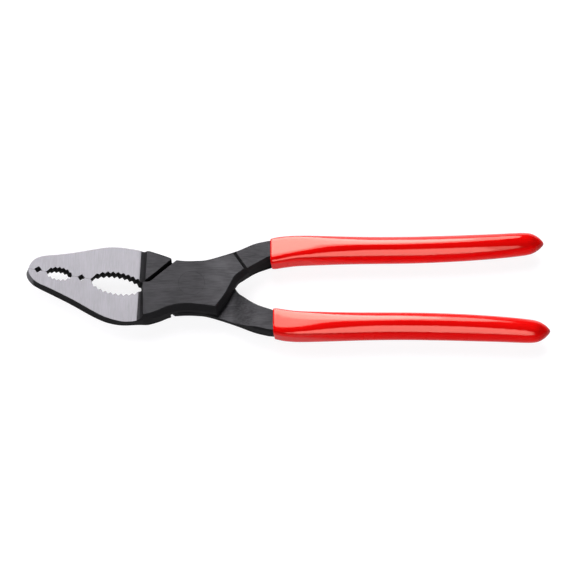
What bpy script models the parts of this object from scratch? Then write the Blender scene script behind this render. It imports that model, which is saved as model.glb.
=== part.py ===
"""Cone pliers: two forged levers on a flush rivet, with dipped grips. Metres, +Z up.

The rivet's axis is Z, the rear joint face lies at Z = 0 and the handles run along +X.
The front lever has the lower jaw, the front joint plate and the upper handle.
The rear lever has the upper jaw, the rear joint plate and the lower handle.
"""
import math

import bmesh
import bpy
from mathutils import Matrix, Vector

MM = 0.001

# Thicknesses and gaps
JOINT_THICKNESS = 10 * MM
JAW_THICKNESS = 4 * MM
MID_BAND = 4.2 * MM
FORGING_DRAFT = 1.3 * MM
FIT_GAP = 0.3 * MM
MID_Z = JOINT_THICKNESS / 2
CUT_MARGIN = 2 * MM
WELD = 0.001 * MM

# Head frame: u runs along the parting line of the jaws, w is the distance from it
HEAD_ANGLE = math.radians(-11)
HEAD_OFFSET = -3.97 * MM

# Each jaw's outer edge, as (u, w) in mm from the far side of the nose to the cheek
LOWER_JAW_EDGE = [(-61.6, -4.9), (-63.7, -2.4), (-64.4, 0), (-63.5, 2.3), (-61.2, 4.4), (-58, 5.65),
                  (-53.8, 6.85), (-48.7, 8.4), (-44.4, 9.8), (-40.1, 11.4), (-35.8, 13.05), (-31.5, 14.4),
                  (-27.4, 15.2), (-23.4, 15.3)]
UPPER_JAW_EDGE = [(-61.6, -4.9), (-63.7, -2.4), (-64.4, 0), (-63.9, 2), (-62.3, 4.4), (-60.3, 5.66),
                  (-57.8, 6.6), (-52.6, 8.1), (-47.1, 9.95), (-41.7, 12.1), (-36.2, 14.17), (-32.5, 15),
                  (-28.6, 15.34), (-23.5, 15.4)]
# The edges of a joint plate and its shank as (x, y) in mm, with y positive on the jaw's side
LOWER_BLOCK_EDGE = [(-19, 14.5), (-16.8, 14.35), (-15.2, 13.9), (-12, 12.75), (-8.85, 11.5)]
UPPER_BLOCK_EDGE = [(-18.6, 14.9), (-16.4, 14.8), (-13.6, 13.9), (-10.5, 12.6), (-7.8, 11.3)]
PLATE_EDGE = [(-4.6, 10.45), (-0.8, 10.3), (5, 10.9), (9.8, 11.8)]
CROTCH_EDGE = [(9.8, 11.8), (11.9, 8.5), (14.1, 5.2), (16.2, 1.6), (18.1, -2), (19.7, -4.5),
               (21.9, -6.6), (25, -8.4), (27.6, -9.45), (30.2, -10.45)]
OUTER_EDGE = [(30.2, -19.3), (28, -18.9), (23.7, -17.7), (17.6, -15.3), (11.5, -13.1), (5.4, -11.1),
              (1.2, -10.5), (-2.7, -10.3), (-6.2, -10.5)]
# Where one plate ends against the other lever's block, and where that block's pocket begins
SHOULDER_U = -18.4
SHOULDER = [(-18.7, 0.5), (-15.7, 0.9), (-7.2, 8.7), (-5.4, 10.3)]
POCKET = [(-19.1, -0.2), (-19, 1), (-16.6, 1.7), (-8, 9.5), (-8.2, 11)]

# Ground flats of the jaws: the edge of the flat on the X axis, its slant and its hollow fillet
FLAT_END_X = -20 * MM
FLAT_SLANT = math.radians(-2.5)
FLAT_FILLET = 2.3 * MM

# Jaw openings in mm: centre and half length along the parting line, half height, then the teeth's
# pitch, depth and the place of their middle valley from the centre
LARGE_OVAL = dict(centre=-29, length=9.8, height=4.95, pitch=2.02, depth=0.85, phase=0)
SMALL_OVAL = dict(centre=-51.2, length=4.7, height=2.85, pitch=1.65, depth=0.5, phase=-0.4)
SQUARE_HOLES = (-59.5, -42.4)
SQUARE_HALF_DIAGONAL = 1.3 * MM

# Shank faces: heights of the ground faces above the rear joint face
STEP_Z = 9.5 * MM
MOUTH_Z = 8.2 * MM
SLEEVED_Z = 8.0 * MM
END_Z = 7.8 * MM
RAMP_FLOOR = 5 * MM
RAMP_START = 14.5 * MM
RAMP_END = 26 * MM
RAMP_LIP = 0.05 * MM

# Handle: (x, centre y, width, thickness, squareness) of the grip in mm
GRIP_STATIONS = [(30.4, 14.95, 10.5, 8.1, 6), (30.9, 15.05, 10.8, 8.4, 6), (36, 15.85, 10.9, 8.6, 5),
                 (43, 16.3, 10.7, 9.1, 4), (60, 16.33, 10.9, 9.9, 2.3), (80, 16.3, 10.75, 10, 2),
                 (95, 16.65, 10.7, 9.85, 2), (110, 17.35, 10.25, 9.55, 2), (122, 18.15, 9.6, 9.05, 2),
                 (128, 18.7, 9, 8.5, 2), (131.5, 18.83, 7.6, 7.2, 2), (133, 18.83, 6, 5.9, 2),
                 (134.3, 18.8, 3.9, 4.2, 2), (135.5, 18.77, 1.2, 1.4, 2)]
# Steel inside the grip: (x, width) in mm
SHANK_WIDTHS = [(34, 8.0), (44, 7.2), (75, 6.8), (95, 6.6), (112, 6.0), (125.5, 4.6)]
GRIP_SIDES = 28

# Rivet
PIN_RADIUS = 4.0 * MM
RIVET_HEAD_RADIUS = 5.0 * MM
RIVET_HEAD_DEPTH = 1.4 * MM
ROUND_STEPS = 32


def remove_all_objects():
    for obj in list(bpy.data.objects):
        bpy.data.objects.remove(obj, do_unlink=True)


def make_collection(name):
    collection = bpy.data.collections.new(name)
    bpy.context.scene.collection.children.link(collection)
    return collection


def make_material(name, colour, roughness, metallic):
    material = bpy.data.materials.new(name)
    material.use_nodes = True
    shader = material.node_tree.nodes["Principled BSDF"]
    shader.inputs["Base Color"].default_value = (*colour, 1)
    shader.inputs["Roughness"].default_value = roughness
    shader.inputs["Metallic"].default_value = metallic
    return material


def head(u, w):
    """A point of the head frame, given in mm, in the part's own X and Y."""
    return tuple(Matrix.Rotation(HEAD_ANGLE, 2) @ Vector((u * MM, w * MM + HEAD_OFFSET)))


def flat(points, side):
    """Points given in mm, in metres, with Y turned to one side of the tool."""
    return [(x * MM, side * y * MM) for x, y in points]


def smooth(points, steps=4):
    """A Catmull-Rom curve through points of any number of values."""
    path = [Vector(point) for point in points]
    path = [2 * path[0] - path[1], *path, 2 * path[-1] - path[-2]]
    curve = []
    for before, start, end, after in zip(path, path[1:], path[2:], path[3:]):
        for step in range(steps):
            t = step / steps
            curve.append(tuple(0.5 * (2 * start + (end - before) * t
                                      + (2 * before - 5 * start + 4 * end - after) * t ** 2
                                      + (3 * start - before - 3 * end + after) * t ** 3)))
    return curve + [tuple(path[-2])]


def between(rows, x):
    """The straight-line value of (x, value) rows at x."""
    for (x0, low), (x1, high) in zip(rows, rows[1:]):
        if x <= x1:
            return low + (high - low) * (x - x0) / (x1 - x0)
    return rows[-1][1]


def extrude_outline(name, outline, low, high, collection):
    """A closed outline in X and Y as a solid from one height to another."""
    curve = bpy.data.curves.new(name, "CURVE")
    curve.dimensions = "2D"
    curve.fill_mode = "BOTH"
    curve.extrude = (high - low) / 2
    spline = curve.splines.new("POLY")
    spline.points.add(len(outline) - 1)
    for point, (x, y) in zip(spline.points, outline):
        point.co = (x, y, 0, 1)
    spline.use_cyclic_u = True
    source = bpy.data.objects.new(name, curve)
    collection.objects.link(source)
    evaluated = source.evaluated_get(bpy.context.evaluated_depsgraph_get())
    mesh = bpy.data.meshes.new_from_object(evaluated)
    bpy.data.objects.remove(source)
    bm = bmesh.new()
    bm.from_mesh(mesh)
    bmesh.ops.remove_doubles(bm, verts=bm.verts, dist=WELD)
    bmesh.ops.recalc_face_normals(bm, faces=bm.faces)
    for way in (1, -1):
        bmesh.ops.dissolve_faces(bm, faces=[face for face in bm.faces if face.normal.z * way > 0.9])
    bmesh.ops.translate(bm, verts=bm.verts, vec=(0, 0, (low + high) / 2))
    bm.to_mesh(mesh)
    bm.free()
    obj = bpy.data.objects.new(name, mesh)
    collection.objects.link(obj)
    return obj


def add_draft(obj):
    """Carry both faces of the mid band out to the joint faces, drawn in by the forging draft."""
    bm = bmesh.new()
    bm.from_mesh(obj.data)
    for way in (1, -1):
        bm.normal_update()
        faces = [face for face in bm.faces if face.normal.z * way > 0.9]
        bmesh.ops.inset_region(bm, faces=faces, thickness=FORGING_DRAFT, use_even_offset=True,
                               depth=(JOINT_THICKNESS - MID_BAND) / 2)
    bm.to_mesh(obj.data)
    bm.free()


def make_cutter(obj):
    obj.hide_render = True
    obj.display_type = "WIRE"
    return obj


def turn_over(cutter):
    """A copy of a cutter, turned half a turn about the X axis of the joint."""
    copy = bpy.data.objects.new(cutter.name + "_turned", cutter.data)
    copy.matrix_world = (Matrix.Translation((0, 0, JOINT_THICKNESS)) @ Matrix.Rotation(math.pi, 4, "X")
                         @ cutter.matrix_world)
    cutter.users_collection[0].objects.link(copy)
    return make_cutter(copy)


def profile_cutter(name, profile, origin, heading, reach, collection):
    """A profile of (run, height) carried sideways: the run starts at origin and follows heading."""
    cutter = extrude_outline(name, profile, -reach, reach, collection)
    upright = Matrix.Rotation(math.pi / 2, 4, "X")
    cutter.matrix_world = (Matrix.Translation((*origin, 0)) @ Matrix.Rotation(heading, 4, "Z") @ upright)
    return make_cutter(cutter)


def cut(target, *cutters):
    for cutter in cutters:
        modifier = target.modifiers.new(cutter.name, "BOOLEAN")
        modifier.operation = "DIFFERENCE"
        modifier.solver = "EXACT"
        modifier.object = cutter


def turned_solid(name, profile, collection):
    """A profile of (radius, height), from the top centre to the bottom centre, turned about Z."""
    mesh = bpy.data.meshes.new(name)
    mesh.from_pydata([(radius, 0, z) for radius, z in profile],
                     [(i, i + 1) for i in range(len(profile) - 1)], [])
    obj = bpy.data.objects.new(name, mesh)
    collection.objects.link(obj)
    screw = obj.modifiers.new("turned", "SCREW")
    screw.axis = "Z"
    screw.steps = ROUND_STEPS
    screw.render_steps = ROUND_STEPS
    screw.use_merge_vertices = True
    screw.merge_threshold = WELD
    screw.use_smooth_shade = False
    return obj


def loft(name, rings, collection):
    """One closed skin over rings of equal point counts, with both ends filled."""
    bm = bmesh.new()
    loops = [[bm.verts.new(point) for point in ring] for ring in rings]
    for loop, following in zip(loops, loops[1:]):
        for i in range(len(loop)):
            j = (i + 1) % len(loop)
            bm.faces.new((loop[i], loop[j], following[j], following[i]))
    bm.faces.new(loops[0])
    bm.faces.new(loops[-1])
    bmesh.ops.recalc_face_normals(bm, faces=bm.faces)
    mesh = bpy.data.meshes.new(name)
    bm.to_mesh(mesh)
    bm.free()
    obj = bpy.data.objects.new(name, mesh)
    collection.objects.link(obj)
    return obj


def handle_centre(x):
    return between([(row[0], row[1]) for row in GRIP_STATIONS], x)


def lever_outline(side):
    """A lever's mid-band outline, with spare metal past the parting line that the cutters take off."""
    jaw_edge, block_edge = ((UPPER_JAW_EDGE, UPPER_BLOCK_EDGE) if side > 0
                            else (LOWER_JAW_EDGE, LOWER_BLOCK_EDGE))
    jaw = [head(u, side * w) for u, w in jaw_edge]
    inner = [(x, -(handle_centre(x) - width / 2)) for x, width in SHANK_WIDTHS]
    outer = [(x, -(handle_centre(x) + width / 2)) for x, width in reversed(SHANK_WIDTHS)]
    spare = [*flat([(-9.5, -13.5), (-20, -4.5)], side), head(-30, -3 * side)]
    return (smooth(jaw + flat(block_edge + PLATE_EDGE, side)) + smooth(flat(CROTCH_EDGE + inner, side))[1:]
            + smooth(flat(outer + OUTER_EDGE, side)) + spare)


def parting_cutter(name, side, collection):
    """What lies past a jaw's own half of the parting line and past its plate's shoulder."""
    half_gap = side * FIT_GAP / MM / 2
    line = [head(-80, half_gap), head(SHOULDER_U, half_gap)]
    far = flat([(SHOULDER[-1][0], -40), (-90, -40)], side)
    outline = line + flat([(x, -y) for x, y in SHOULDER], side) + far
    return make_cutter(extrude_outline(name, outline, -CUT_MARGIN, JOINT_THICKNESS + CUT_MARGIN, collection))


def plate_corner_frame():
    """The front plate's lower right corner and the headings along and away from its right edge."""
    corner = Vector(CROTCH_EDGE[0])
    along = (Vector(CROTCH_EDGE[4]) - corner).normalized()
    away = Vector((-along.y, along.x))
    return corner, along, away


def pocket_cutter(collection):
    """The front half of the rear lever that makes room for the front plate."""
    corner, along, away = plate_corner_frame()
    edge = corner + away * FIT_GAP / MM
    top, bottom = edge + along * 38, edge - along * 8
    outline = POCKET + [(-8.2, 20), (top.x, -top.y), (bottom.x, -bottom.y), (POCKET[0][0], -bottom.y)]
    outline = [(x * MM, y * MM) for x, y in outline]
    return make_cutter(extrude_outline("pocket", outline, MID_Z - FIT_GAP / 2,
                                       JOINT_THICKNESS + CUT_MARGIN, collection))


def shank_profile(start, mouth_run):
    """A shank's ground face beyond its start, as (run, height), closed well above the tool."""
    top = JOINT_THICKNESS + CUT_MARGIN
    end_run = 140 * MM
    tail = [(mouth_run, MOUTH_Z), (mouth_run + 14 * MM, SLEEVED_Z), (end_run, END_Z), (end_run, top)]
    return start + tail + [(start[0][0], top)]


def ramp_cutter(collection):
    """The ramp on the rear lever, from the lap plane beside the front plate up to the shank's face."""
    foot = MID_Z - FIT_GAP / 2 + RAMP_LIP
    ramp = [(RAMP_FLOOR, foot)]
    for step in range(9):
        t = step / 8
        ramp.append((RAMP_START + (RAMP_END - RAMP_START) * t, foot + (MOUTH_Z - foot) * t * t * (3 - 2 * t)))
    return profile_cutter("ramp", shank_profile(ramp, 31 * MM), (0, 0), 0, 70 * MM, collection)


def step_cutter(collection):
    """The small step at the end of the front plate, and the upper shank's front face."""
    start, end = Vector((16.3, 12.6)), Vector((20.7, 5.7))
    along = (end - start).normalized()
    heading = math.atan2(along.x, -along.y)
    return profile_cutter("step", shank_profile([(0, STEP_Z)], 10.4 * MM), tuple(start * MM), heading,
                          90 * MM, collection)


def flat_cutter(collection):
    """The ground front flat of both jaws, ending in a hollow fillet up to the joint face."""
    level = MID_Z + JAW_THICKNESS / 2
    profile = [(-80 * MM, JOINT_THICKNESS + CUT_MARGIN), (-80 * MM, level)]
    for step in range(7):
        angle = math.pi / 2 * step / 6
        profile.append((FLAT_FILLET * math.sin(angle), level + FLAT_FILLET * (1 - math.cos(angle))))
    profile.append((FLAT_FILLET, JOINT_THICKNESS + CUT_MARGIN))
    return profile_cutter("jaw_flat", profile, (FLAT_END_X, 0), FLAT_SLANT, 40 * MM, collection)


def oval_cutter(name, oval, collection):
    """A toothed oval: valleys and tips take turns along the parting line, on both jaws alike."""
    length, half_pitch = oval["length"], oval["pitch"] / 2
    count = int(length / half_pitch)
    upper = [(-length, 0)]
    for step in range(-count, count + 1):
        run = oval["phase"] + step * half_pitch
        if abs(run) < length - half_pitch / 2:
            depth = oval["depth"] * (step % 2)
            upper.append((run, (oval["height"] - depth) * math.sqrt(1 - (run / length) ** 2)))
    upper.append((length, 0))
    lower = [(run, -rise) for run, rise in upper[-2:0:-1]]
    points = [head(oval["centre"] + run, rise) for run, rise in upper + lower]
    return make_cutter(extrude_outline(name, points, 0, JOINT_THICKNESS, collection))


def square_cutter(name, u, collection):
    reach = SQUARE_HALF_DIAGONAL / MM
    corners = [head(u - reach, 0), head(u, reach), head(u + reach, 0), head(u, -reach)]
    return make_cutter(extrude_outline(name, corners, 0, JOINT_THICKNESS, collection))


def rivet_profile(gap, overrun):
    """A through pin with a countersunk head at each face, as (radius, height) from the top down."""
    half = JOINT_THICKNESS / 2
    pin, rim = PIN_RADIUS + gap, RIVET_HEAD_RADIUS + gap
    upper = [(0, half + overrun), (rim, half + overrun), (rim, half), (pin, half - RIVET_HEAD_DEPTH)]
    if not overrun:
        upper.pop(2)
    lower = [(radius, -z) for radius, z in reversed(upper)]
    return [(radius, MID_Z + z) for radius, z in upper + lower]


def make_lever(name, side, cutters, steel, collection):
    lever = extrude_outline(name, lever_outline(side), MID_Z - MID_BAND / 2, MID_Z + MID_BAND / 2, collection)
    add_draft(lever)
    cut(lever, *cutters)
    lever.data.materials.append(steel)
    return lever


def grip_ring(x, y, width, thickness, squareness):
    """A rounded section across the handle, with sizes in mm."""
    ring = []
    for i in range(GRIP_SIDES):
        angle = 2 * math.pi * i / GRIP_SIDES
        c, s = math.cos(angle), math.sin(angle)
        power = 2 / squareness
        ring.append((x * MM, (y + width / 2 * math.copysign(abs(c) ** power, c)) * MM,
                     MID_Z + thickness / 2 * math.copysign(abs(s) ** power, s) * MM))
    return ring


def make_grip(name, side, plastic, collection):
    """A sleeve with a closed tip, hollow where the shank goes in."""
    clearance = 2 * FIT_GAP / MM
    heights = [(30.4, MOUTH_Z), (46, SLEEVED_Z), (SHANK_WIDTHS[-1][0], END_Z)]
    hollow = []
    for x, width in reversed([(30.4, 8.8), *SHANK_WIDTHS, (126.3, 4.2)]):
        thickness = 2 * (between(heights, x) - MID_Z) / MM + clearance
        hollow.append((x, handle_centre(x), width + clearance, thickness, 6))
    rings = [grip_ring(*row) for row in hollow + smooth(GRIP_STATIONS, 2)]
    rings = [[(x, side * y, z) for x, y, z in ring] for ring in rings]
    grip = loft(name, rings, collection)
    grip.data.materials.append(plastic)
    grip.data.shade_smooth()
    grip.data.set_sharp_from_angle(angle=math.radians(50))
    return grip


def main():
    remove_all_objects()
    parts = make_collection("cone_pliers")
    cutters = make_collection("cutters")
    front_steel = make_material("front_lever_steel", (0.08, 0.08, 0.085), 0.4, 0.9)
    rear_steel = make_material("rear_lever_steel", (0.08, 0.08, 0.085), 0.4, 0.9)
    rivet_steel = make_material("rivet_steel", (0.1, 0.1, 0.105), 0.4, 0.9)
    front_plastic = make_material("front_grip_plastic", (0.65, 0.005, 0.008), 0.22, 0)
    rear_plastic = make_material("rear_grip_plastic", (0.65, 0.005, 0.008), 0.22, 0)

    flat_front = flat_cutter(cutters)
    shared = [flat_front, turn_over(flat_front),
              make_cutter(turned_solid("rivet_hole", rivet_profile(FIT_GAP, CUT_MARGIN), cutters)),
              oval_cutter("large_oval", LARGE_OVAL, cutters), oval_cutter("small_oval", SMALL_OVAL, cutters)]
    shared += [square_cutter(f"square_hole_{i}", u, cutters) for i, u in enumerate(SQUARE_HOLES, 1)]
    pocket, ramp, step = pocket_cutter(cutters), ramp_cutter(cutters), step_cutter(cutters)
    front_own = [parting_cutter("front_parting", -1, cutters), turn_over(pocket), turn_over(ramp), step]
    rear_own = [parting_cutter("rear_parting", 1, cutters), pocket, ramp, turn_over(step)]

    pivot = bpy.data.objects.new("jaw_pivot", None)
    parts.objects.link(pivot)
    front_pieces = [make_lever("front_lever", -1, front_own + shared, front_steel, parts),
                    make_grip("front_grip", 1, front_plastic, parts)]
    for piece in front_pieces:
        piece.parent = pivot
    make_lever("rear_lever", 1, rear_own + shared, rear_steel, parts)
    make_grip("rear_grip", -1, rear_plastic, parts)
    rivet = turned_solid("pivot_rivet", rivet_profile(0, 0), parts)
    rivet.data.materials.append(rivet_steel)


main()
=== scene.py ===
"""The looks of a pair of cone pliers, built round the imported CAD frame. Metres, +Z up.

Sizes are in millimetres up to the meshes, which are in metres. The rivet's axis is Z, the rear joint
face lies at Z = 0 and the handles run along +X. The front lever has the lower jaw and the upper handle.
"""
import math

import bmesh
import bpy
from mathutils import Matrix, Vector


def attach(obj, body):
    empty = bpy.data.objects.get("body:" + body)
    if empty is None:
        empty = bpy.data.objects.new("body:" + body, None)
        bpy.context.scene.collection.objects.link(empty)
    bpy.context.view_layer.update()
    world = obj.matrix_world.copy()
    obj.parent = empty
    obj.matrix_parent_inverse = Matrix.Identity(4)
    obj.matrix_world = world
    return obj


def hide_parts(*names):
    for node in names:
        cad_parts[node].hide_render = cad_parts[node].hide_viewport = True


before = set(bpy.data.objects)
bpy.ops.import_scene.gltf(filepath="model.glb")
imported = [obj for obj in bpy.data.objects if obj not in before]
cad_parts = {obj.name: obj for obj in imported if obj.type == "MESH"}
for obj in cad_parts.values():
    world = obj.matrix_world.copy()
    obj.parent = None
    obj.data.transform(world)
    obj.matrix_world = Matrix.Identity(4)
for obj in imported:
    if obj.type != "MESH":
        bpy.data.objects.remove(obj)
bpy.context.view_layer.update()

MM = 0.001
JOINT_Z = 10.0
MID_Z = 5.0
FLAT_Z = 7.0
BAND_Z = 7.1
LAP_GAP = 0.2
JAW_GAP = 0.07
RIVET_GAP = 0.015
EDGE_ROUND = 0.35
WELD = 0.012 * MM
SLIVER = 0.0005 * MM
OVERCUT = 2.0
CUT_REACH = 90.0

# Head frame: u runs along the parting line of the jaws, w is the distance from it
HEAD_ANGLE = math.radians(-11)
HEAD_OFFSET = -3.97

# Outline rows (along, across, draw-in at the front joint face, draw-in at the front of the mid band).
# The rear joint face, and the rear lever's shank, are drawn in by DRAW_IN.
DRAW_IN = 1.3
CORNER_CLEAR = 1.9
LOWER_JAW = [(-62.3, -4.9, 1.3, 1.2), (-64.1, -2.4, 1.3, 1.3), (-64.55, 0, 1.3, 1.35),
             (-63.55, 2.4, 1.3, 1.2), (-61.2, 4.5, 1.3, 0.85), (-59.2, 5.4, 1.3, 0.6),
             (-57, 6.2, 1.3, 0.55), (-54, 7.13, 1.3, 0.68), (-50.6, 8.2, 1.3, 0.73),
             (-46.7, 9.45, 1.3, 0.74), (-42.4, 10.96, 1.3, 0.8), (-38.1, 12.6, 1.3, 0.77),
             (-33.8, 14.07, 1.3, 0.66), (-29.7, 15.09, 1.3, 0.45), (-25.7, 15.38, 1.3, 0.14),
             (-21.9, 15, 1.1, -0.25)]
UPPER_JAW = [(-62.3, -4.9, 1.3, 1.2), (-64.1, -2.4, 1.3, 1.3), (-64.55, 0, 1.3, 1.35), (-64, 2.1, 1.3, 1),
             (-62.4, 4.4, 1.3, 0.45), (-60.3, 5.75, 1.3, 0.1), (-57.8, 6.75, 1.3, 0), (-52.6, 8.25, 1.3, 0),
             (-47.1, 10.1, 1.3, 0), (-41.7, 12.25, 1.3, 0), (-36.2, 14.3, 1.3, 0), (-32.5, 15.15, 1.3, 0),
             (-28.6, 15.5, 1.3, 0), (-23.5, 15.5, 1.3, 0)]
LOWER_BLOCK = [(-20.2, 14.2, 0.95, -0.2), (-17.1, 14.15, 0.95, 0), (-15.6, 13.9, 1, 0),
               (-12, 12.75, 1.2, 0), (-8.45, 11.2, 1.3, 0)]
UPPER_BLOCK = [(-18.6, 14.9, 1, 0), (-16.4, 14.8, 0.9, 0), (-13.6, 13.9, 0.9, 0),
               (-10.5, 12.6, 0.75, 0), (-7.8, 11.3, 0.6, 0)]
PLATE = [(-4.6, 10.25, 1.3, 0), (-0.8, 10.1, 1.3, 0), (5, 10.7, 1.3, 0), (9.8, 11.6, 1.3, 0)]
CROTCH = [(9.8, 11.6, 1.3, 0), (11.9, 8.5, 1.3, 0), (14.1, 5.2, 1.3, 0), (15.8, 1.5, 1.3, 0),
          (17.65, -2.05, 1.3, 0), (19.7, -4.05, 1.2, 0), (21.9, -6.05, 1.05, 0), (25, -7.9, 1.5, 0.4),
          (27.6, -8.95, 2.4, 0.9), (30.2, -9.9, 3.2, 1.6), (34, -11.2, 2.4, 1.2), (44, -12.6, 1.3, 0.3),
          (75, -12.9, 1.3, 0), (95, -13.35, 1.3, 0), (112, -14.5, 1.3, 0), (125.5, -16.15, 1.3, 0)]
OUTER = [(125.5, -20.7, 1.3, 0), (112, -20.4, 1.3, 0), (95, -19.95, 1.3, 0), (75, -19.7, 1.3, 0),
         (44, -19.9, 1, 0), (34, -19.5, 0.5, 0), (30.2, -19.3, 0.45, 0), (28, -18.9, 0.5, 0),
         (23.7, -17.7, 0.6, 0), (17.6, -15.15, 1.2, 0), (11.5, -12.85, 1.15, 0), (5.4, -10.9, 1.05, 0),
         (1.2, -10.4, 0.85, 0), (-2.7, -10.3, 0.75, 0), (-6.2, -10.5, 0.5, 0)]

# Spare metal of each blank past the parting line, with its last point in the head frame
SPARE = [(-9.5, -13.5), (-20, -4.5)]
SPARE_HEAD = (-30, -3)

# Where one plate ends against the other lever's block, where that block's pocket begins, and how far the
# pocket runs along the plate's right edge
SHOULDER_U = -18.4
SHOULDER = [(-18.7, 0.5), (-15.7, 0.9), (-7.2, 8.7), (-5.4, 10.3)]
POCKET = [(-19.1, -0.2), (-19, 1), (-16.9, 2), (-7.9, 10.37), (-8, 11.9)]
POCKET_TOP = 20.0
PLATE_GAP = 0.3
PLATE_RUNS = (38, -8)

# Ground flats of the jaws: where each ends on the tool's X axis, the slant of that end, the radius there
# of the hollow up to its block, and how much the radius grows for each mm out along the jaw's own side
LOWER_FLAT = (-20.9, math.radians(-4), 2.36, 0.127)
UPPER_FLAT = (-21.35, math.radians(-1.5), 3.98, -0.01)
FLAT_START = -80.0
FLAT_REACH = 26.0
FLAT_OVERLAP = 3.0
HOLLOW_STEPS = 10
BRIGHT_STEPS = 2

# Jaw openings. The walls of the ovals lean along X.
LARGE_OVAL = {"Centre": -28.35, "Half Length": 10.45, "Half Height": 4.95, "Half Pitch": 1.01,
              "Tooth Depth": 0.85, "Phase": -0.5, "Steps": 22}
SMALL_OVAL = {"Centre": -51.15, "Half Length": 5.1, "Half Height": 2.95, "Half Pitch": 0.825,
              "Tooth Depth": 0.7, "Phase": -0.4, "Steps": 14}
OVAL_LEAN = 0.22
OVAL_TOP = 8.0
SQUARE_HOLES = ((-59.5, 0.3), (-42.4, 0))
SQUARE_REACH = 1.5

# Ground faces of the shanks, with runs from the ramp's origin or from the step's line
STEP_LINE = (Vector((16.3, 12.6)), Vector((20.7, 5.7)))
MOUTH_Z = 8.2
SLEEVED_Z = 8.0
END_Z = 7.8
SHANK_END = 140.0
SLEEVE_RUN = 14.0
RAMP_FOOT = 5.0
RAMP_START = 14.5
RAMP_END = 26.0
RAMP_MOUTH = 31.0
RAMP_STEPS = 24
RAMP_LIP = 0.05
STEP_HOLLOW = [(-0.45, 10.02), (0.2, 9.4), (0.9, 9.5)]
STEP_MOUTH = 13.7

PIN_RADIUS = 4.0
RIVET_RADIUS = 5.0
RIVET_DEPTH = 1.4
# Softened rim of each head: how far out and up from the edge at the face
RIVET_RIM = [(-0.05, 0), (-0.01, -0.02), (-0.02, -0.06)]

# Grip rows from inside the mouth, over the lip, to the tip: x, centre y, width, thickness, squareness
GRIP_ROWS = [(126.3, 18.45, 0, 0, 6), (126.2, 18.45, 4, 4.6, 6), (125.5, 18.4, 5.6, 6.4, 6),
             (112, 17.45, 6.8, 6.6, 6), (95, 16.65, 7.4, 6.7, 6), (75, 16.3, 7.6, 6.8, 6),
             (50, 16.25, 8, 6.9, 6), (37, 15.75, 8.9, 6.9, 6), (33, 15.3, 9.4, 6.9, 6),
             (30.7, 14.9, 9.8, 6.9, 6), (30.35, 14.95, 10.2, 7.1, 6), (30.5, 15, 10.6, 7.3, 6),
             (31.2, 15.1, 10.9, 7.5, 6), (33.5, 15.5, 11.1, 7.65, 5.7), (37, 15.95, 10.95, 8.1, 5),
             (43, 16.3, 10.7, 8.9, 4),
             (51, 16.36, 10.95, 9.6, 2.6), (60, 16.33, 10.95, 9.9, 2.1), (70, 16.28, 10.85, 10, 1.9),
             (80, 16.3, 10.75, 10, 1.9), (90, 16.5, 10.75, 9.9, 1.85), (100, 16.85, 10.6, 9.75, 1.85),
             (110, 17.35, 10.25, 9.55, 1.9), (118, 17.85, 9.8, 9.2, 1.95), (124, 18.33, 9.4, 8.9, 2),
             (128, 18.65, 9, 8.5, 2), (130, 18.78, 8.5, 8, 2), (131.5, 18.83, 7.6, 7.2, 2),
             (133, 18.83, 6, 5.9, 2), (134.3, 18.8, 4, 4.2, 2), (135.2, 18.78, 2.1, 2.3, 2),
             (135.6, 18.77, 0.9, 1, 2), (135.7, 18.77, 0, 0, 2)]
GRIP_RINGS = 256
GRIP_SIDES = 72
MOUTH_TILT = 0.5

# Camera of the photograph
CAMERA_TARGET = Vector((36.7, 0.2, 5)) * MM
CAMERA_DISTANCE = 0.704
CAMERA_HEIGHT = math.radians(63)
CAMERA_ROLL = math.radians(-0.3)
CAMERA_LENS = 115

# Stage, in metres: each softbox has a shape, a place from the camera's target, a size, a roll in degrees and
# a radiance
FLOOR_REACH = 4
FLOOR_Z = -0.0002
SOFTBOXES = {"back_softbox": ("ELLIPSE", (-0.05, 0.78, 0.62), (0.42, 0.95), -12, 6),
             "back_softbox_rim": ("ELLIPSE", (-0.04, 0.78, 0.65), (0.6, 1.15), -12, 5.8),
             "front_softbox": ("ELLIPSE", (0.11, -0.67, 0.745), (0.6, 0.9), 0, 2.85),
             "front_softbox_core": ("RECTANGLE", (0.1, -0.66, 0.735), (0.4, 0.76), 0, 2.2),
             "left_softbox": ("ELLIPSE", (-0.77, 0.42, 0.48), (0.5, 0.6), 0, 5)}


class Value:
    """A socket of a node tree. Arithmetic on it adds Math nodes."""

    def __init__(self, graph, socket):
        self.graph = graph
        self.socket = socket

    def math(self, operation, *others):
        return self.graph.math(operation, self, *others)

    def __add__(self, other):
        return self.math("ADD", other)

    def __sub__(self, other):
        return self.math("SUBTRACT", other)

    def __rsub__(self, other):
        return self.graph.math("SUBTRACT", other, self)

    def __mul__(self, other):
        return self.math("MULTIPLY", other)

    def __truediv__(self, other):
        return self.math("DIVIDE", other)

    def __rtruediv__(self, other):
        return self.graph.math("DIVIDE", other, self)

    def __pow__(self, other):
        return self.math("POWER", other)

    def __abs__(self):
        return self.math("ABSOLUTE")

    __radd__ = __add__
    __rmul__ = __mul__


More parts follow.
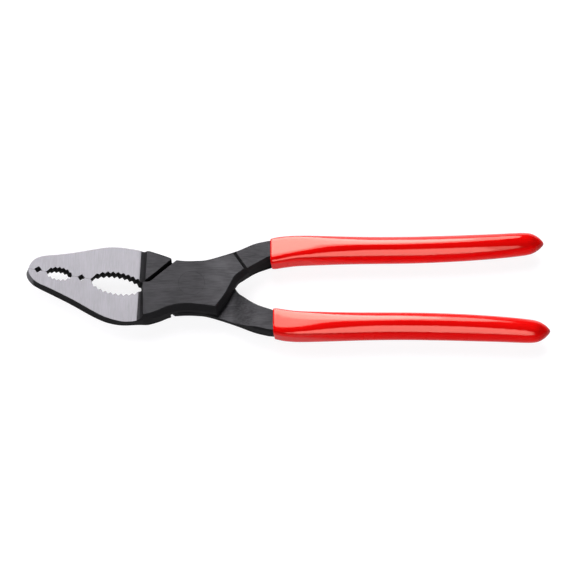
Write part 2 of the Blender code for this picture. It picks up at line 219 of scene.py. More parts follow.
class Graph:
    """Adds nodes to one node tree."""

    def __init__(self, tree):
        self.tree = tree

    def add(self, kind, settings=None, inputs=None, output=0):
        """A node of a kind: its settings are set first, then its sockets get values or links.

        A list links several values to one socket.
        """
        node = self.tree.nodes.new(kind)
        for name, value in (settings or {}).items():
            if name == "points":
                set_curve(node.mapping, value)
            else:
                setattr(node, name, value)
        for key, value in (inputs or {}).items():
            for item in value if isinstance(value, list) else [value]:
                if isinstance(item, Value):
                    self.tree.links.new(item.socket, node.inputs[key])
                else:
                    node.inputs[key].default_value = item
        return Value(self, node.outputs[output]) if node.outputs else None

    def math(self, operation, *values):
        return self.add("ShaderNodeMath", {"operation": operation}, dict(enumerate(values)))

    def curve(self, at, points):
        """A smooth curve through (0 to 1, value) points, read at a value."""
        low = min(value for _, value in points)
        span = max(value for _, value in points) - low or 1
        shape = [(place, (value - low) / span) for place, value in points]
        return low + span * self.add("ShaderNodeFloatCurve", {"points": shape}, {"Value": at})

    def step(self, value, start, end):
        """0 before start and 1 after end, with a smooth rise between."""
        return self.add("ShaderNodeMapRange", {"interpolation_type": "SMOOTHSTEP"},
                        {"Value": value, "From Min": start, "From Max": end})

    def blend(self, factor, low, high):
        """A colour between two, each a colour or a link. The node's colour sockets go by number."""
        return self.add("ShaderNodeMix", {"data_type": "RGBA"}, {"Factor": factor, 6: low, 7: high}, 2)

    def axes(self, vector):
        """The X, Y and Z of a vector."""
        return [self.add("ShaderNodeSeparateXYZ", None, {"Vector": vector}, axis) for axis in "XYZ"]


def set_curve(mapping, points):
    curve = mapping.curves[0]
    while len(curve.points) < len(points):
        curve.points.new(0, 0)
    for point, (x, y) in zip(curve.points, points):
        point.location = (x, y)
        point.handle_type = "AUTO"
    mapping.update()


def head(u, w):
    """A point of the head frame in the tool's X and Y."""
    return tuple(Matrix.Rotation(HEAD_ANGLE, 2) @ Vector((u, w + HEAD_OFFSET)))


def smooth(points, steps=8):
    """A Catmull-Rom curve through points of any number of values."""
    path = [Vector(point) for point in points]
    path = [2 * path[0] - path[1], *path, 2 * path[-1] - path[-2]]
    curve = []
    for before, start, end, after in zip(path, path[1:], path[2:], path[3:]):
        for step in range(steps):
            t = step / steps
            curve.append(0.5 * (2 * start + (end - before) * t
                                + (2 * before - 5 * start + 4 * end - after) * t ** 2
                                + (3 * start - before - 3 * end + after) * t ** 3))
    return curve + [path[-2]]


def add_object(name, mesh):
    obj = bpy.data.objects.new(name, mesh)
    bpy.context.scene.collection.objects.link(obj)
    return obj


def evaluated_mesh(obj):
    """The object's mesh with its modifiers applied."""
    return bpy.data.meshes.new_from_object(obj.evaluated_get(bpy.context.evaluated_depsgraph_get()))


def lofted(name, levels, finishes, matrix=Matrix()):
    """A solid through closed outlines in mm, each with its height.

    Its walls take their finishes in the order of the points, then repeat the last.
    """
    bm = bmesh.new()
    rings = [[bm.verts.new((x * MM, y * MM, z * MM)) for x, y in outline] for outline, z in levels]
    materials = list(dict.fromkeys(finishes))
    for lower, upper in zip(rings, rings[1:]):
        for i in range(len(lower)):
            j = (i + 1) % len(lower)
            wall = bm.faces.new((lower[i], lower[j], upper[j], upper[i]))
            wall.material_index = materials.index(finishes[min(i, len(finishes) - 1)])
    for ring in (rings[0], rings[-1]):
        bm.faces.new(ring).material_index = materials.index(finishes[-1])
    bmesh.ops.recalc_face_normals(bm, faces=bm.faces)
    bmesh.ops.triangulate(bm, faces=[face for face in bm.faces if len(face.verts) == 4])
    bm.transform(matrix)
    mesh = bpy.data.meshes.new(name)
    bm.to_mesh(mesh)
    bm.free()
    for material in materials:
        mesh.materials.append(material)
    return add_object(name, mesh)


def prism(name, outline, low, high, finishes, matrix=Matrix()):
    """A solid on one closed outline."""
    return lofted(name, [(outline, low), (outline, high)], finishes, matrix)


def turned_over(cutter):
    """A copy of a cutter, turned half a turn about the joint's X axis."""
    mesh = cutter.data.copy()
    mesh.transform(Matrix.Translation((0, 0, JOINT_Z * MM)) @ Matrix.Rotation(math.pi, 4, "X"))
    return add_object(cutter.name + "_turned", mesh)


def mirrored(cutter):
    """A copy of a cutter, mirrored to the rear of the tool."""
    mesh = cutter.data.copy()
    mesh.transform(Matrix.Translation((0, 0, JOINT_Z * MM)) @ Matrix.Scale(-1, 4, (0, 0, 1)))
    mesh.flip_normals()
    return add_object(cutter.name + "_rear", mesh)


def profile_matrix(origin, heading):
    """Carries a profile of (run, height) so that the run starts at origin and follows heading."""
    return (Matrix.Translation((origin[0] * MM, origin[1] * MM, 0)) @ Matrix.Rotation(heading, 4, "Z")
            @ Matrix.Rotation(math.pi / 2, 4, "X"))


def profile_cutter(name, profile, origin, heading, finishes):
    """A profile of (run, height) carried sideways both ways."""
    return prism(name, profile, -CUT_REACH, CUT_REACH, finishes, profile_matrix(origin, heading))


def lever_outline(side):
    """A lever's rows: x, y and draw-in at the front, at the front of the mid band and at the rear.

    Spare metal past the parting line is taken off by the cutters.
    """
    jaw, block = (UPPER_JAW, UPPER_BLOCK) if side > 0 else (LOWER_JAW, LOWER_BLOCK)
    body = [(*head(u, side * w), face, band, DRAW_IN) for u, w, face, band in jaw]
    body += [(x, side * y, face, band, DRAW_IN) for x, y, face, band in block + PLATE]
    crotch, outer = ([(x, side * y, *((DRAW_IN, 0) if side > 0 else (face, band)), DRAW_IN)
                      for x, y, face, band in rows] for rows in (CROTCH, OUTER))
    spare = [(x, y * side) for x, y in SPARE] + [head(SPARE_HEAD[0], SPARE_HEAD[1] * side)]
    spare = [Vector((*place, DRAW_IN, 0, DRAW_IN)) for place in spare]
    corner = Vector(crotch[0])
    edges = smooth(body)[:-1] + smooth(crotch)[1:]
    edges = [row for row in edges if (row - corner).xy.length > CORNER_CLEAR]
    turn = next(i for i, row in enumerate(edges) if row.x > corner.x)
    return edges[:turn] + [corner] + edges[turn:] + smooth(outer) + spare


def inward_normals(points):
    """The mitred inward direction at each point of a closed outline."""
    area = sum(a.x * b.y - b.x * a.y for a, b in zip(points, points[1:] + points[:1]))
    turn = 1 if area > 0 else -1
    normals = []
    for before, here, after in zip(points[-1:] + points[:-1], points, points[1:] + points[:1]):
        sides = [Vector((-(b - a).y, (b - a).x)).normalized() * turn
                 for a, b in ((before, here), (here, after))]
        normals.append((sides[0] + sides[1]) / (1 + sides[0].dot(sides[1])))
    return normals


def rounded_edge(wall, corner, face, steps=4):
    """Points that turn smoothly from a wall's point to a face's point past their corner."""
    places = [step / steps for step in range(steps + 1)]
    return [(1 - t) ** 2 * wall + 2 * t * (1 - t) * corner + t * t * face for t in places]


def lever_blank(name, side, wall_finish, face_finish):
    """A forged blank: an upright mid band, then walls drawn in to the joint faces with rounded edges."""
    rows = lever_outline(side)
    places = [Vector((row[0], row[1])) for row in rows]
    normals = inward_normals(places)
    half_band, half_joint = BAND_Z - MID_Z, JOINT_Z - MID_Z
    columns = []
    for row, place, normal in zip(rows, places, normals):
        front_in, band_in, rear_in = row[2], row[3], row[4]
        column = []
        for way, start, face_in in ((-1, 0, rear_in), (1, band_in, front_in)):
            slope = Vector((face_in - start, half_joint - half_band))
            corner = Vector((face_in, half_joint))
            edge = rounded_edge(corner - slope.normalized() * EDGE_ROUND, corner,
                                corner + Vector((EDGE_ROUND, 0)))
            part = [(inset, MID_Z + way * height) for inset, height in [(start, half_band), *edge]]
            column += part if way > 0 else part[::-1]
        columns.append([(*((place + normal * inset) * MM), z * MM) for inset, z in column])
    bm = bmesh.new()
    grid = [[bm.verts.new(point) for point in column] for column in columns]
    for left, right in zip(grid, grid[1:] + grid[:1]):
        for i in range(len(left) - 1):
            bm.faces.new((left[i], right[i], right[i + 1], left[i + 1]))
    for end in (0, -1):
        bm.faces.new([column[end] for column in grid]).material_index = 1
    bmesh.ops.recalc_face_normals(bm, faces=bm.faces)
    mesh = bpy.data.meshes.new(name)
    bm.to_mesh(mesh)
    bm.free()
    mesh.materials.append(wall_finish)
    mesh.materials.append(face_finish)
    return add_object(name, mesh)


def parting_cutter(name, side, finish):
    """What lies past a jaw's own half of the parting line and past its plate's shoulder."""
    line = [head(u, side * JAW_GAP / 2) for u in (FLAT_START, SHOULDER_U)]
    shoulder = [(x, -side * y) for x, y in SHOULDER]
    far = [(x, -side * CUT_REACH) for x in (SHOULDER[-1][0], -CUT_REACH)]
    return prism(name, line + shoulder + far, -OVERCUT, JOINT_Z + OVERCUT, [finish])


def plate_corner_frame():
    """The front plate's lower right corner and the headings along and away from its right edge."""
    corner = Vector(CROTCH[0][:2])
    along = (Vector(CROTCH[4][:2]) - corner).normalized()
    return corner, along, Vector((-along.y, along.x))


def pocket_cutter(wall_finish, face_finish):
    """The front half of the rear lever that makes room for the front plate."""
    corner, along, away = plate_corner_frame()
    edge = corner + away * PLATE_GAP
    top, bottom = (edge + along * run for run in PLATE_RUNS)
    outline = POCKET + [(POCKET[-1][0], POCKET_TOP), (top.x, -top.y), (bottom.x, -bottom.y),
                        (POCKET[0][0], -bottom.y)]
    finishes = [wall_finish] * len(outline) + [face_finish]
    return prism("pocket", outline, MID_Z - LAP_GAP / 2, JOINT_Z + OVERCUT, finishes)


def shank_profile(start, mouth_run):
    """A shank's ground face beyond its start, as (run, height), closed well above the tool."""
    top = JOINT_Z + OVERCUT
    tail = [(mouth_run, MOUTH_Z), (mouth_run + SLEEVE_RUN, SLEEVED_Z), (SHANK_END, END_Z), (SHANK_END, top)]
    return start + tail + [(start[0][0], top)]


def ramp_cutter(finish):
    """The ramp on the rear lever, from the lap plane beside the front plate up to the shank's face."""
    foot = MID_Z - LAP_GAP / 2 + RAMP_LIP
    ramp = [(RAMP_FOOT, foot)]
    for step in range(RAMP_STEPS + 1):
        t = step / RAMP_STEPS
        run = RAMP_START + (RAMP_END - RAMP_START) * t
        ramp.append((run, foot + (MOUTH_Z - foot) * t * t * (3 - 2 * t)))
    return profile_cutter("ramp", shank_profile(ramp, RAMP_MOUTH), (0, 0), 0, [finish])


def step_cutter(wall_finish, face_finish):
    """The small step at the end of the front plate, and the upper shank's front face."""
    start, end = STEP_LINE
    along = (end - start).normalized()
    heading = math.atan2(along.x, -along.y)
    profile = shank_profile(STEP_HOLLOW, STEP_MOUTH)
    return profile_cutter("step", profile, start, heading, [wall_finish, wall_finish, face_finish])


def flat_profile(hollow):
    """A jaw's flat as (run, height), ending in a hollow that rises to the joint face."""
    profile = [(FLAT_START, JOINT_Z + OVERCUT), (FLAT_START, FLAT_Z)]
    for step in range(HOLLOW_STEPS + 1):
        angle = math.pi / 2 * step / HOLLOW_STEPS
        profile.append((hollow * math.sin(angle), FLAT_Z + hollow * (1 - math.cos(angle))))
    return profile + [(hollow, JOINT_Z + OVERCUT)]


def flat_cutter(name, side, flat, flat_finish, hollow_finishes):
    """The ground front flat of a jaw, with a hollow that widens or narrows along the jaw's own side."""
    end, slant, radius, growth = flat
    levels = []
    for reach in (FLAT_REACH, -FLAT_OVERLAP, -FLAT_REACH):
        hollow = radius + growth * max(reach, -FLAT_OVERLAP)
        levels.append((flat_profile(hollow), -side * reach))
    finishes = [flat_finish] * (2 + BRIGHT_STEPS) + hollow_finishes
    return lofted(name, levels, finishes, profile_matrix((end, 0), slant))


def square_cutter(name, u, w, finish):
    corners = [head(u - SQUARE_REACH, w), head(u, w + SQUARE_REACH), head(u + SQUARE_REACH, w),
               head(u, w - SQUARE_REACH)]
    return prism(name, corners, 0, JOINT_Z, [finish])


def rivet_profile(gap, overrun):
    """A through pin with a countersunk head at each face, as (radius, height) from the top down."""
    half = JOINT_Z / 2
    pin, rim = PIN_RADIUS + gap, RIVET_RADIUS + gap
    upper = [(0, half + overrun), (rim, half + overrun), (rim, half), (pin, half - RIVET_DEPTH)]
    if not overrun:
        upper[1:3] = [(rim + out, half + up) for out, up in RIVET_RIM]
    return [(radius, MID_Z + z) for radius, z in upper + [(radius, -z) for radius, z in reversed(upper)]]


def turned_solid(name, profile, wall_finish, face_finish, sides=96):
    """A profile of (radius, height), from the top centre to the bottom centre, turned about Z."""
    bm = bmesh.new()
    angles = [2 * math.pi * i / sides for i in range(sides)]
    rings = [[bm.verts.new(Vector((radius * math.cos(angle), radius * math.sin(angle), z)) * MM)
              for angle in angles] for radius, z in profile[1:-1]]
    for upper, lower in zip(rings, rings[1:]):
        for i in range(sides):
            j = (i + 1) % sides
            bm.faces.new((upper[i], lower[i], lower[j], upper[j]))
    bm.faces.new(rings[0]).material_index = 1
    bm.faces.new(rings[-1]).material_index = 1
    bmesh.ops.recalc_face_normals(bm, faces=bm.faces)
    mesh = bpy.data.meshes.new(name)
    bm.to_mesh(mesh)
    bm.free()
    mesh.materials.append(wall_finish)
    mesh.materials.append(face_finish)
    return add_object(name, mesh)


def node_group(name, sizes):
    """An empty Geometry Nodes tree with named number inputs and a material input."""
    tree = bpy.data.node_groups.new(name, "GeometryNodeTree")
    for size in sizes:
        kind = "NodeSocketInt" if size in ("Steps", "Rings", "Sides") else "NodeSocketFloat"
        tree.interface.new_socket(size, in_out="INPUT", socket_type=kind)
    tree.interface.new_socket("Finish", in_out="INPUT", socket_type="NodeSocketMaterial")
    tree.interface.new_socket("Geometry", in_out="OUTPUT", socket_type="NodeSocketGeometry")
    graph = Graph(tree)
    entry = graph.add("NodeGroupInput").socket.node
    return graph, {socket.name: Value(graph, socket) for socket in entry.outputs if socket.name}


def close_tree(graph, geometry, finish):
    """The end of every tree: real geometry with its finish."""
    geometry = graph.add("GeometryNodeRealizeInstances", None, {"Geometry": geometry})
    geometry = graph.add("GeometryNodeSetMaterial", None, {"Geometry": geometry, "Material": finish})
    graph.add("NodeGroupOutput", None, {"Geometry": geometry})


def grown(name, tree, values):
    """A plain mesh object from a Geometry Nodes tree with its named inputs set."""
    obj = add_object(name, bpy.data.meshes.new(name))
    modifier = obj.modifiers.new(name, "NODES")
    modifier.node_group = tree
    for item in tree.interface.items_tree:
        if item.in_out == "INPUT":
            modifier[item.identifier] = values[item.name]
    mesh = evaluated_mesh(obj)
    obj.modifiers.clear()
    obj.data = mesh
    bm = bmesh.new()
    bm.from_mesh(mesh)
    bmesh.ops.recalc_face_normals(bm, faces=bm.faces)
    bm.to_mesh(mesh)
    bm.free()
    return obj


def toothed_oval_tree():
    """A through cutter for a toothed oval: valleys and tips take turns along the parting line."""
    graph, size = node_group("toothed_oval", LARGE_OVAL)
    steps = size["Steps"]
    ring = graph.add("GeometryNodeMeshCircle", {"fill_type": "NGON"}, {"Vertices": steps * 2, "Radius": 1})
    index = graph.add("GeometryNodeInputIndex")
    place = steps - abs(steps - index)
    upper = graph.add("FunctionNodeCompare", {"data_type": "INT", "operation": "LESS_EQUAL"},
                      {2: index, 3: steps})
    run = size["Phase"] + (place - steps / 2) * size["Half Pitch"]
    run = run.math("MINIMUM", size["Half Length"]).math("MAXIMUM", size["Half Length"] * -1)
    tip = (place + steps / 2).math("MODULO", 2)
    arc = (1 - (run / size["Half Length"]) ** 2).math("MAXIMUM", 0).math("SQRT")
    rise = (size["Half Height"] * arc - tip * size["Tooth Depth"]).math("MAXIMUM", 0) * (upper * 2 - 1)
    u, w = size["Centre"] + run, rise + HEAD_OFFSET
    cos, sin = math.cos(HEAD_ANGLE), math.sin(HEAD_ANGLE)
    point = graph.add("ShaderNodeCombineXYZ", None, {"X": (u * cos - w * sin - OVAL_LEAN * FLAT_Z) * MM,
                                                     "Y": (u * sin + w * cos) * MM})
    face = graph.add("GeometryNodeSetPosition", None, {"Geometry": ring, "Position": point})
    face = graph.add("GeometryNodeMergeByDistance", None, {"Geometry": face, "Distance": 0.05 * MM})
    through = graph.add("ShaderNodeCombineXYZ", None, {"X": OVAL_LEAN * OVAL_TOP * MM, "Z": OVAL_TOP * MM})
    walls = graph.add("GeometryNodeExtrudeMesh", {"mode": "FACES"}, {"Mesh": face, "Offset": through})
    bottom = graph.add("GeometryNodeFlipFaces", None, {"Mesh": face})
    solid = graph.add("GeometryNodeJoinGeometry", None, {"Geometry": [bottom, walls]})
    solid = graph.add("GeometryNodeMergeByDistance", None, {"Geometry": solid, "Distance": 0.001 * MM})
    close_tree(graph, solid, size["Finish"])
    return graph.tree


def grip_tree():
    """A dipped sleeve: sections swept from inside the mouth, over the lip and along the handle to the tip."""
    graph, size = node_group("dipped_sleeve", ("Rings", "Sides", "Side", "Mouth Shift", "Mouth Tilt"))
    grid = graph.add("GeometryNodeMeshGrid", None, {"Size X": 1, "Size Y": 1, "Vertices X": size["Rings"],
                                                    "Vertices Y": size["Sides"]})
    along, across, _ = graph.axes(graph.add("GeometryNodeInputPosition"))
    along, turn = along + 0.5, (across + 0.5) * (2 * math.pi)
    places = [i / (len(GRIP_ROWS) - 1) for i in range(len(GRIP_ROWS))]
    x, centre, width, thickness, squareness = (graph.curve(along, list(zip(places, column)))
                                               for column in zip(*GRIP_ROWS))
    cos, sin = turn.math("COSINE"), turn.math("SINE")
    reach = (abs(cos) ** squareness + abs(sin) ** squareness) ** (-1 / squareness) / 2
    y, z = centre + width * reach * cos, thickness * reach * sin
    shift = (size["Mouth Shift"] - size["Mouth Tilt"] * z / 5) * (1 - graph.step(x, 30, 44))
    point = graph.add("ShaderNodeCombineXYZ", None, {"X": (x + shift) * MM, "Y": y * size["Side"] * MM,
                                                     "Z": (z + MID_Z) * MM})
    skin = graph.add("GeometryNodeSetPosition", None, {"Geometry": grid, "Position": point})
    skin = graph.add("GeometryNodeMergeByDistance", None, {"Geometry": skin, "Distance": 0.002 * MM})
    skin = graph.add("GeometryNodeSetShadeSmooth", None, {"Geometry": skin})
    close_tree(graph, skin, size["Finish"])
    return graph.tree


def carve(lever, cutters):
    """The lever with every cutter taken out of it, as a plain mesh with soft faces and sharp edges."""
    for cutter in cutters:
        modifier = lever.modifiers.new(cutter.name, "BOOLEAN")
        modifier.operation = "DIFFERENCE"
        modifier.solver = "EXACT"
        modifier.material_mode = "TRANSFER"
        modifier.object = cutter
    lever.data = evaluated_mesh(lever)
    lever.modifiers.clear()
    weld(lever.data)
    soften(lever)


def weld(mesh):
    """The mesh with the slivers that the cuts leave closed up."""
    bm = bmesh.new()
    bm.from_mesh(mesh)
    bmesh.ops.remove_doubles(bm, verts=bm.verts, dist=WELD)
    bmesh.ops.dissolve_degenerate(bm, edges=bm.edges, dist=SLIVER)
    bmesh.ops.triangulate(bm, faces=[face for face in bm.faces if len(face.verts) > 4])
    bm.to_mesh(mesh)
    bm.free()


def soften(piece):
    """Smooth shading that keeps sharp edges and flat faces."""
    piece.data.shade_smooth()
    piece.data.set_sharp_from_angle(angle=math.radians(20))
    weighted = piece.modifiers.new("flat_faces", "WEIGHTED_NORMAL")
    weighted.keep_sharp = True
    weighted.weight = 100
    piece.data = evaluated_mesh(piece)
    piece.modifiers.clear()


def new_material(name):
    """A material and its empty graph."""
    material = bpy.data.materials.new(name)
    material.use_nodes = True
    material.node_tree.nodes.clear()
    return material, Graph(material.node_tree)


def close_material(graph, surface):
    """The end of every material."""
    graph.add("ShaderNodeOutputMaterial", None, {"Surface": surface})


def principled(graph, inputs):
    return graph.add("ShaderNodeBsdfPrincipled", None, inputs)


def object_place(graph, scale=(1, 1, 1)):
    """Object coordinates in mm, stretched."""
    place = graph.add("ShaderNodeTexCoord", output="Object")
    return graph.add("ShaderNodeMapping", None, {"Vector": place, "Scale": tuple(s / MM for s in scale)})


def noise(graph, place, scale, detail=2, roughness=0.5):
    return graph.add("ShaderNodeTexNoise", None, {"Vector": place, "Scale": scale, "Detail": detail,
                                                  "Roughness": roughness})


def bumped(graph, height, strength, depth):
    """A normal that follows a height, with its depth in mm."""
    return graph.add("ShaderNodeBump", None, {"Strength": strength, "Distance": depth * MM, "Height": height})


def grey(level):
    return (level, level * 0.97, level * 1.05, 1)


def ground_steel():
    """Bright jaw flats, ground across the head: fine streaks along Y."""
    material, graph = new_material("ground_steel")
    fine = noise(graph, object_place(graph, (1, 0.05, 0.05)), 3.4, 4, 0.7)
    patches = noise(graph, object_place(graph, (1, 0.35, 1)), 0.22, 3)
    tone = graph.step(fine * 0.6 + patches * 0.4, 0.36, 0.64)
    close_material(graph, principled(graph, {
        "Base Color": graph.blend(tone, grey(0.223), grey(0.3)), "Metallic": 1.0,
        "Roughness": 0.58 + tone * 0.08, "Normal": bumped(graph, fine, 0.1, 0.02)}))
    return material


def brushed_oxide(name, dark, light):
    """Blackened joint faces, ground along the tool: fine streaks along X, with painted light that makes them
    paler over the ramps and shanks just past the joint.
    """
    material, graph = new_material(name)
    fine = noise(graph, object_place(graph, (0.06, 1, 1)), 2.6, 4, 0.7)
    patches = noise(graph, object_place(graph, (0.4, 1, 1)), 0.3, 3)
    tone = graph.step(fine * 0.6 + patches * 0.4, 0.32, 0.68)
    x, y, _ = graph.axes(object_place(graph))
    # Painted light: the base colour is paler over the ramps and shanks just past the joint.
    painted_light_patch = graph.step(x, 2, 12) * graph.step(x + y * 0.5, 27, 15)
    dark, light = (graph.blend(painted_light_patch, grey(level), grey(level * 1.42)) for level in (dark, light))
    close_material(graph, principled(graph, {
        "Base Color": graph.blend(tone, dark, light), "Metallic": 1.0,
        "Roughness": 0.5 + tone * 0.1, "Normal": bumped(graph, fine, 0.12, 0.02)}))
    return material


def forged_oxide():
    """Blackened forged walls, darker inside the upright band, with a ground bright nose. Painted shade makes
    them near black over the band's lowest part and below it, and on the jaws just under the flats.
    """
    material, graph = new_material("forged_oxide")
    place = object_place(graph)
    grain = noise(graph, place, 3, 4, 0.6)
    tone = graph.step(grain, 0.3, 0.7)
    x, y, z = graph.axes(place)
    jaw = graph.step(x, -19, -21)
    # Painted shade: near-black lines over the lowest part of the upright band and below it, and on the jaws
    # just under the flats.
    painted_shade_under_flat = jaw * graph.step(z, MID_Z + 1.2, MID_Z + 1.5)
    edge = graph.step(z, MID_Z - 0.8, MID_Z - 1.4).math("MAXIMUM", painted_shade_under_flat)
    band = graph.step(z, BAND_Z + 0.1, BAND_Z - 0.1)
    along = x * math.cos(HEAD_ANGLE) + y * math.sin(HEAD_ANGLE)
    nose = graph.step(along + grain * 0.6, -59.6, -60.8)
    draft = graph.blend(tone, grey(0.012), grey(0.017))
    dark = graph.blend(band, draft, graph.blend(tone, grey(0.009), grey(0.013)))
    # The painted shade lines go in here, near black.
    dark = graph.blend(edge, dark, grey(0.001))
    close_material(graph, principled(graph, {
        "Base Color": graph.blend(nose, dark, grey(0.074)), "Metallic": nose,
        "Roughness": 0.5 + tone * 0.12, "Specular IOR Level": 0.03,
        "Normal": bumped(graph, grain, 0.25, 0.04)}))
    return material


def tooth_oxide():
    """The walls of the ovals and holes: matt and nearly black."""
    material, graph = new_material("tooth_oxide")
    tone = graph.step(noise(graph, object_place(graph), 4, 3, 0.6), 0.3, 0.7)
    close_material(graph, principled(graph, {
        "Base Color": graph.blend(tone, grey(0.004), grey(0.01)), "Roughness": 0.6 + tone * 0.1,
        "Specular IOR Level": 0.03}))
    return material


def dipped_plastic():
    """Red dipped plastic, glossy on its faces and satin on its sides, with a faint ripple from the dip. The
    sides carry painted light, a paler red, and the tips painted shade, a darker red.
    """
    material, graph = new_material("dipped_plastic")
    place = object_place(graph, (0.3, 1, 1))
    tone = graph.step(noise(graph, place, 0.08, 2), 0.3, 0.7)
    ripple = noise(graph, place, 0.25, 2)
    x, _, z = graph.axes(object_place(graph))
    # Painted shade: the tips turn a darker red towards their ends.
    tip = graph.step(x, 128.5, 134.5)
    face = graph.blend(tone, (0.62, 0.001, 0.001, 1), (0.68, 0.002, 0.002, 1))
    # Painted light: the sides are a much paler red than the faces.
    side = graph.blend(tone, (0.91, 0.001, 0.002, 1), (0.97, 0.002, 0.003, 1))
    tint = (1, 0.4, 0.33, 1)
    glossy = principled(graph, {
        "Base Color": graph.blend(tip, face, (0.38, 0.001, 0.001, 1)), "Roughness": 0.06 + tone * 0.03,
        "Specular IOR Level": 1.0, "Specular Tint": tint, "Normal": bumped(graph, ripple, 0.06, 0.3)})
    satin_and_painted_light = principled(graph, {
        "Base Color": graph.blend(tip, side, (0.55, 0.001, 0.001, 1)), "Roughness": 0.2 + tone * 0.1,
        "Specular IOR Level": 0.22, "Specular Tint": tint})
    # Glossy faces against satin sides, which also carry the painted light.
    polish_and_painted_light = graph.step(abs(z - MID_Z), 2.5, 3.5)
    close_material(graph, graph.add("ShaderNodeMixShader", None, {0: polish_and_painted_light, 1: satin_and_painted_light, 2: glossy}))
    return material


def make_levers(finishes):
    """Both forgings, with the jaws' openings cut through them together."""
    ground, brushed, hollow, forged, tooth = (
        finishes[name] for name in ("ground", "brushed", "hollow", "forged", "tooth"))
    oval = toothed_oval_tree()
    shared = [grown("large_oval", oval, {**LARGE_OVAL, "Finish": tooth}),
              grown("small_oval", oval, {**SMALL_OVAL, "Finish": tooth}),
              turned_solid("rivet_hole", rivet_profile(RIVET_GAP, OVERCUT), tooth, tooth)]
    shared += [square_cutter(f"square_hole_{i}", *place, tooth) for i, place in enumerate(SQUARE_HOLES, 1)]
    pocket, ramp, step = pocket_cutter(tooth, brushed), ramp_cutter(brushed), step_cutter(tooth, brushed)
    lower_flat = flat_cutter("lower_flat", -1, LOWER_FLAT, ground, [brushed, brushed, hollow])
    upper_flat = flat_cutter("upper_flat", 1, UPPER_FLAT, ground, [hollow])
    own = {-1: [parting_cutter("front_parting", -1, tooth), turned_over(pocket), turned_over(ramp), step,
                lower_flat, mirrored(lower_flat)],
           1: [parting_cutter("rear_parting", 1, tooth), pocket, ramp, turned_over(step),
               upper_flat, mirrored(upper_flat)]}
    levers = {}
    for side, name in ((-1, "front_lever_forging"), (1, "rear_lever_forging")):
        levers[side] = lever_blank(name, side, forged, brushed)
        carve(levers[side], own[side] + shared)
    for cutter in {*shared, *own[-1], *own[1]}:
        bpy.data.objects.remove(cutter)
    return levers[-1], levers[1]


def make_grips(plastic):
    tree = grip_tree()
    values = {"Rings": GRIP_RINGS, "Sides": GRIP_SIDES, "Mouth Tilt": MOUTH_TILT, "Finish": plastic}
    return (grown("front_grip_sleeve", tree, {**values, "Side": 1.0, "Mouth Shift": 0.0}),
            grown("rear_grip_sleeve", tree, {**values, "Side": -1.0, "Mouth Shift": 1.0}))


def make_camera():
    away = Vector((0, -math.cos(CAMERA_HEIGHT), math.sin(CAMERA_HEIGHT)))
    level = Vector((1, 0, 0))
    up = away.cross(level)
    right = level * math.cos(CAMERA_ROLL) + up * math.sin(CAMERA_ROLL)
    data = bpy.data.cameras.new("photo_camera")
    data.lens = CAMERA_LENS
    data.sensor_width = 36
    camera = add_object("photo_camera", data)
    turn = Matrix((right, away.cross(right), away)).transposed()
    camera.matrix_world = Matrix.Translation(CAMERA_TARGET + away * CAMERA_DISTANCE) @ turn.to_4x4()
    bpy.context.scene.camera = camera


def make_softbox(name, shape, place, size, roll, radiance):
    """A lamp that faces the tool."""
    data = bpy.data.lights.new(name, "AREA")
    data.shape = shape
    data.size, data.size_y = size
    area = size[0] * size[1] * (math.pi / 4 if shape == "ELLIPSE" else 1)
    data.energy = radiance * math.pi * area
    lamp = add_object(name, data)
    away = Vector(place)
    turn = away.to_track_quat("Z", "Y").to_matrix().to_4x4() @ Matrix.Rotation(math.radians(roll), 4, "Z")
    lamp.matrix_world = Matrix.Translation(CAMERA_TARGET + away) @ turn


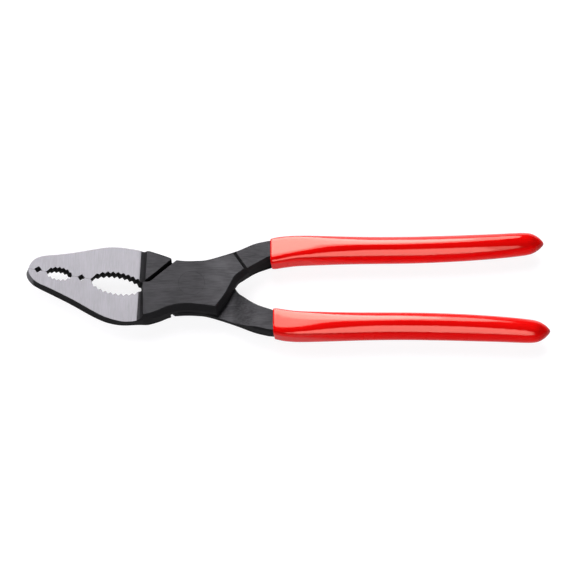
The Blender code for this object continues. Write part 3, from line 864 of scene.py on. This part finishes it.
def make_floor():
    """A pale floor that keeps the tool's shadow and is white to the camera, in metal and through gaps."""
    mesh = bpy.data.meshes.new("floor")
    corners = [(-1, -1), (1, -1), (1, 1), (-1, 1)]
    mesh.from_pydata([(x * FLOOR_REACH, y * FLOOR_REACH, FLOOR_Z) for x, y in corners], [], [(0, 1, 2, 3)])
    floor = add_object("floor", mesh)
    material, graph = new_material("pale_floor")
    seen, glossy, transmitted = (graph.add("ShaderNodeLightPath", output=f"Is {kind} Ray")
                                 for kind in ("Camera", "Glossy", "Transmission"))
    seen = seen.math("MAXIMUM", glossy).math("MAXIMUM", transmitted)
    place = graph.add("ShaderNodeTexCoord", output="Object")
    distance = graph.add("ShaderNodeVectorMath", {"operation": "LENGTH"}, {0: place}, "Value")
    diffuse = graph.add("ShaderNodeBsdfDiffuse", None, {"Color": grey(0.24)})
    strength = seen * (0.83 + graph.step(distance, 0.3, 1) * 0.17)
    glow = graph.add("ShaderNodeEmission", None, {"Color": (1, 1, 1, 1), "Strength": strength})
    close_material(graph, graph.add("ShaderNodeAddShader", None, {0: diffuse, 1: glow}))
    mesh.materials.append(material)


def make_world():
    """A white surround near the horizon with a dark ceiling."""
    world = bpy.data.worlds.new("studio")
    world.use_nodes = True
    bpy.context.scene.world = world
    graph = Graph(world.node_tree)
    graph.tree.nodes.clear()
    _, _, rise = graph.axes(graph.add("ShaderNodeTexCoord", output="Generated"))
    strength = 1 - graph.step(rise, 0.06, 0.2) * 0.96
    surround = graph.add("ShaderNodeBackground", None, {"Color": (1, 1, 1, 1), "Strength": strength})
    graph.add("ShaderNodeOutputWorld", None, {"Surface": surround})


def settle(piece, node, body):
    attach(piece, body)
    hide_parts(node)


finishes = {"ground": ground_steel(), "brushed": brushed_oxide("brushed_oxide", 0.019, 0.047),
            "hollow": brushed_oxide("hollow_oxide", 0.011, 0.027),
            "forged": forged_oxide(), "tooth": tooth_oxide()}
front_lever, rear_lever = make_levers(finishes)
rivet = turned_solid("flush_rivet", rivet_profile(0, 0), finishes["tooth"], finishes["brushed"])
soften(rivet)
front_grip, rear_grip = make_grips(dipped_plastic())
settle(front_lever, "front_lever", "front_half")
settle(rear_lever, "rear_lever", "rear_half")
settle(rivet, "pivot_rivet", "rear_half")
settle(front_grip, "front_grip", "front_half")
settle(rear_grip, "rear_grip", "rear_half")
make_floor()
make_world()
for softbox, settings in SOFTBOXES.items():
    make_softbox(softbox, *settings)
make_camera()
bpy.context.scene.view_settings.view_transform = "Standard"
